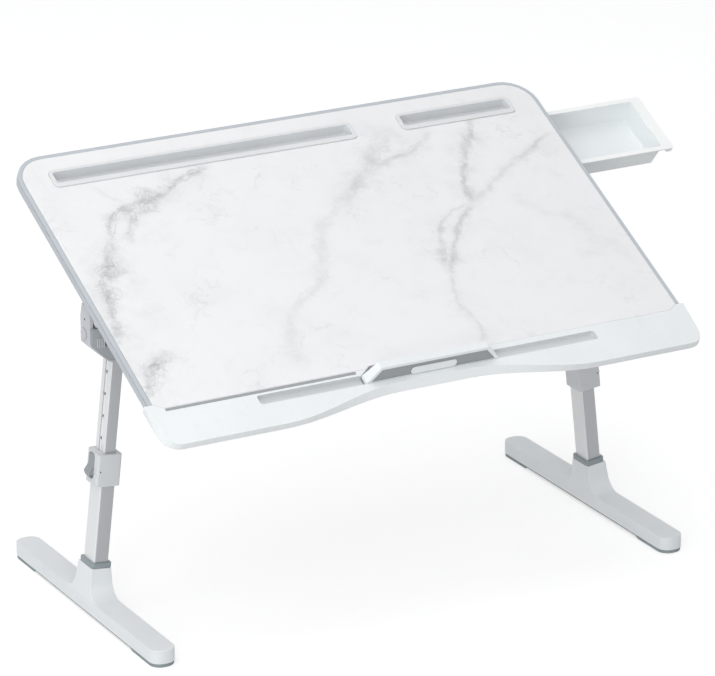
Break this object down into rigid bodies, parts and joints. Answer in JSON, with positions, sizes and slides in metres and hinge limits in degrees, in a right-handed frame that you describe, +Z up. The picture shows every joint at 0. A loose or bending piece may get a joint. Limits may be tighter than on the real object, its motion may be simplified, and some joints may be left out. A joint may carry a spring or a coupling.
{
  "type": "laptop stand",
  "caption": "Folding laptop stand with a tilting marble-look top, device slots, pull-out side drawer, flip-up stopper, wrist rest and telescopic legs",
  "frame": {"origin": "on the floor, under the middle of the part's bounding box with the drawer pulled out", "axes": "+X to the user's right along the front edge, +Y away from the user, +Z up"},
  "size_m": [0.8504, 0.422, 0.4951],
  "materials": {
    "marble": "laminate with a grey marble pattern",
    "board": "fibreboard",
    "band": "satin",
    "rest": "glossy white",
    "inlay": "satin",
    "tray": "satin",
    "drawer": "satin white",
    "housing": "satin",
    "dark": "satin grey",
    "ring": "satin grey",
    "foot": "satin white",
    "rubber": "matte",
    "aluminium": "satin anodised",
    "steel": "plain",
    "rail": "satin"
  },
  "bodies": {
    "tabletop": {"board_core": "board", "marble_skin": "marble", "edge_band": "band", "wrist_rest": "rest", "inlay_strip": "inlay", "tablet_slot_tray": "tray", "phone_slot_tray": "tray", "drawer_rail_front": "rail", "drawer_rail_back": "rail", "drawer_stop": "rail", "rail_screw_front_1": "steel", "rail_screw_front_2": "steel", "rail_screw_back_1": "steel", "rail_screw_back_2": "steel", "stopper_pin": "steel", "fold_base_left": "housing", "fold_pin_left": "steel", "fold_base_right": "housing", "fold_pin_right": "steel"},
    "drawer": {"drawer_tray": "drawer"},
    "stopper": {"stopper_bar": "rest", "stopper_panel": "dark", "stopper_grip": "rest"},
    "swing_left": {"swing_bracket_left": "housing"},
    "upper_leg_left": {"tilt_head_left": "housing", "tilt_pin_left": "steel", "pivot_cap_left": "housing", "inner_tube_left": "aluminium", "tube_plug_left": "dark"},
    "release_left": {"tilt_release_left": "dark"},
    "lower_leg_left": {"outer_tube_left": "aluminium", "collar_left": "housing", "lever_pin_left": "steel", "ring_band_left": "ring", "foot_left": "foot", "foot_sole_left": "rubber"},
    "lever_left": {"height_lever_left": "dark"},
    "detent_left": {"detent_pin_left": "steel"},
    "swing_right": {"swing_bracket_right": "housing"},
    "upper_leg_right": {"tilt_head_right": "housing", "tilt_pin_right": "steel", "pivot_cap_right": "housing", "inner_tube_right": "aluminium", "tube_plug_right": "dark"},
    "release_right": {"tilt_release_right": "dark"},
    "lower_leg_right": {"outer_tube_right": "aluminium", "collar_right": "housing", "lever_pin_right": "steel", "ring_band_right": "ring", "foot_right": "foot", "foot_sole_right": "rubber"},
    "lever_right": {"height_lever_right": "dark"},
    "detent_right": {"detent_pin_right": "steel"}
  },
  "joints": [
    {"name": "drawer_slide", "type": "slide", "parent": "tabletop", "child": "drawer", "axis": [-1, 0, 0], "range_m": [0, 0.148]},
    {"name": "stopper_flip", "type": "hinge", "parent": "tabletop", "child": "stopper", "pos_m": [-0.06877, -0.17781, 0.29709], "axis": [-1, 0, 0], "range_deg": [0, 90]},
    {"name": "fold_left", "type": "hinge", "parent": "tabletop", "child": "swing_left", "pos_m": [-0.35377, 0.00346, 0.36942], "axis": [0, -0.891, -0.454], "range_deg": [0, 90]},
    {"name": "tilt_left", "type": "hinge", "parent": "swing_left", "child": "upper_leg_left", "pos_m": [-0.38877, 0.01795, 0.341], "axis": [1, 0, 0], "range_deg": [-9, 27]},
    {"name": "tilt_release_left", "type": "slide", "parent": "upper_leg_left", "child": "release_left", "axis": [0, 1, 0], "range_m": [0, 0.0018], "stiffness_N_per_m": 1500, "springref_m": -0.002},
    {"name": "height_left", "type": "slide", "parent": "upper_leg_left", "child": "lower_leg_left", "axis": [0.1132, 0, 0.9936], "range_m": [0, 0.1068]},
    {"name": "height_lever_left", "type": "hinge", "parent": "lower_leg_left", "child": "lever_left", "pos_m": [-0.40535, 0.01795, 0.19147], "axis": [0, 1, 0], "range_deg": [0, 25], "stiffness_Nm_per_rad": 0.15, "springref_deg": -11.46},
    {"name": "detent_left", "type": "slide", "parent": "lower_leg_left", "child": "detent_left", "axis": [-0.9936, 0, 0.1132], "range_m": [0, 0.002]},
    {"name": "fold_right", "type": "hinge", "parent": "tabletop", "child": "swing_right", "pos_m": [0.21623, 0.00346, 0.36942], "axis": [0, 0.891, 0.454], "range_deg": [0, 90]},
    {"name": "tilt_right", "type": "hinge", "parent": "swing_right", "child": "upper_leg_right", "pos_m": [0.25123, 0.01795, 0.341], "axis": [1, 0, 0], "range_deg": [-9, 27]},
    {"name": "tilt_release_right", "type": "slide", "parent": "upper_leg_right", "child": "release_right", "axis": [0, 1, 0], "range_m": [0, 0.0018], "stiffness_N_per_m": 1500, "springref_m": -0.002},
    {"name": "height_right", "type": "slide", "parent": "upper_leg_right", "child": "lower_leg_right", "axis": [-0.1132, 0, 0.9936], "range_m": [0, 0.1068]},
    {"name": "height_lever_right", "type": "hinge", "parent": "lower_leg_right", "child": "lever_right", "pos_m": [0.26782, 0.01795, 0.19147], "axis": [0, -1, 0], "range_deg": [0, 25], "stiffness_Nm_per_rad": 0.15, "springref_deg": -11.46},
    {"name": "detent_right", "type": "slide", "parent": "lower_leg_right", "child": "detent_right", "axis": [0.9936, 0, 0.1132], "range_m": [0, 0.002]}
  ],
  "couplings": [
    {"joint": "detent_left", "follows": "height_lever_left", "m_per_rad": 0.00458},
    {"joint": "detent_right", "follows": "height_lever_right", "m_per_rad": 0.00458},
    {"joint": "tilt_right", "follows": "tilt_left", "ratio": 1}
  ]
}
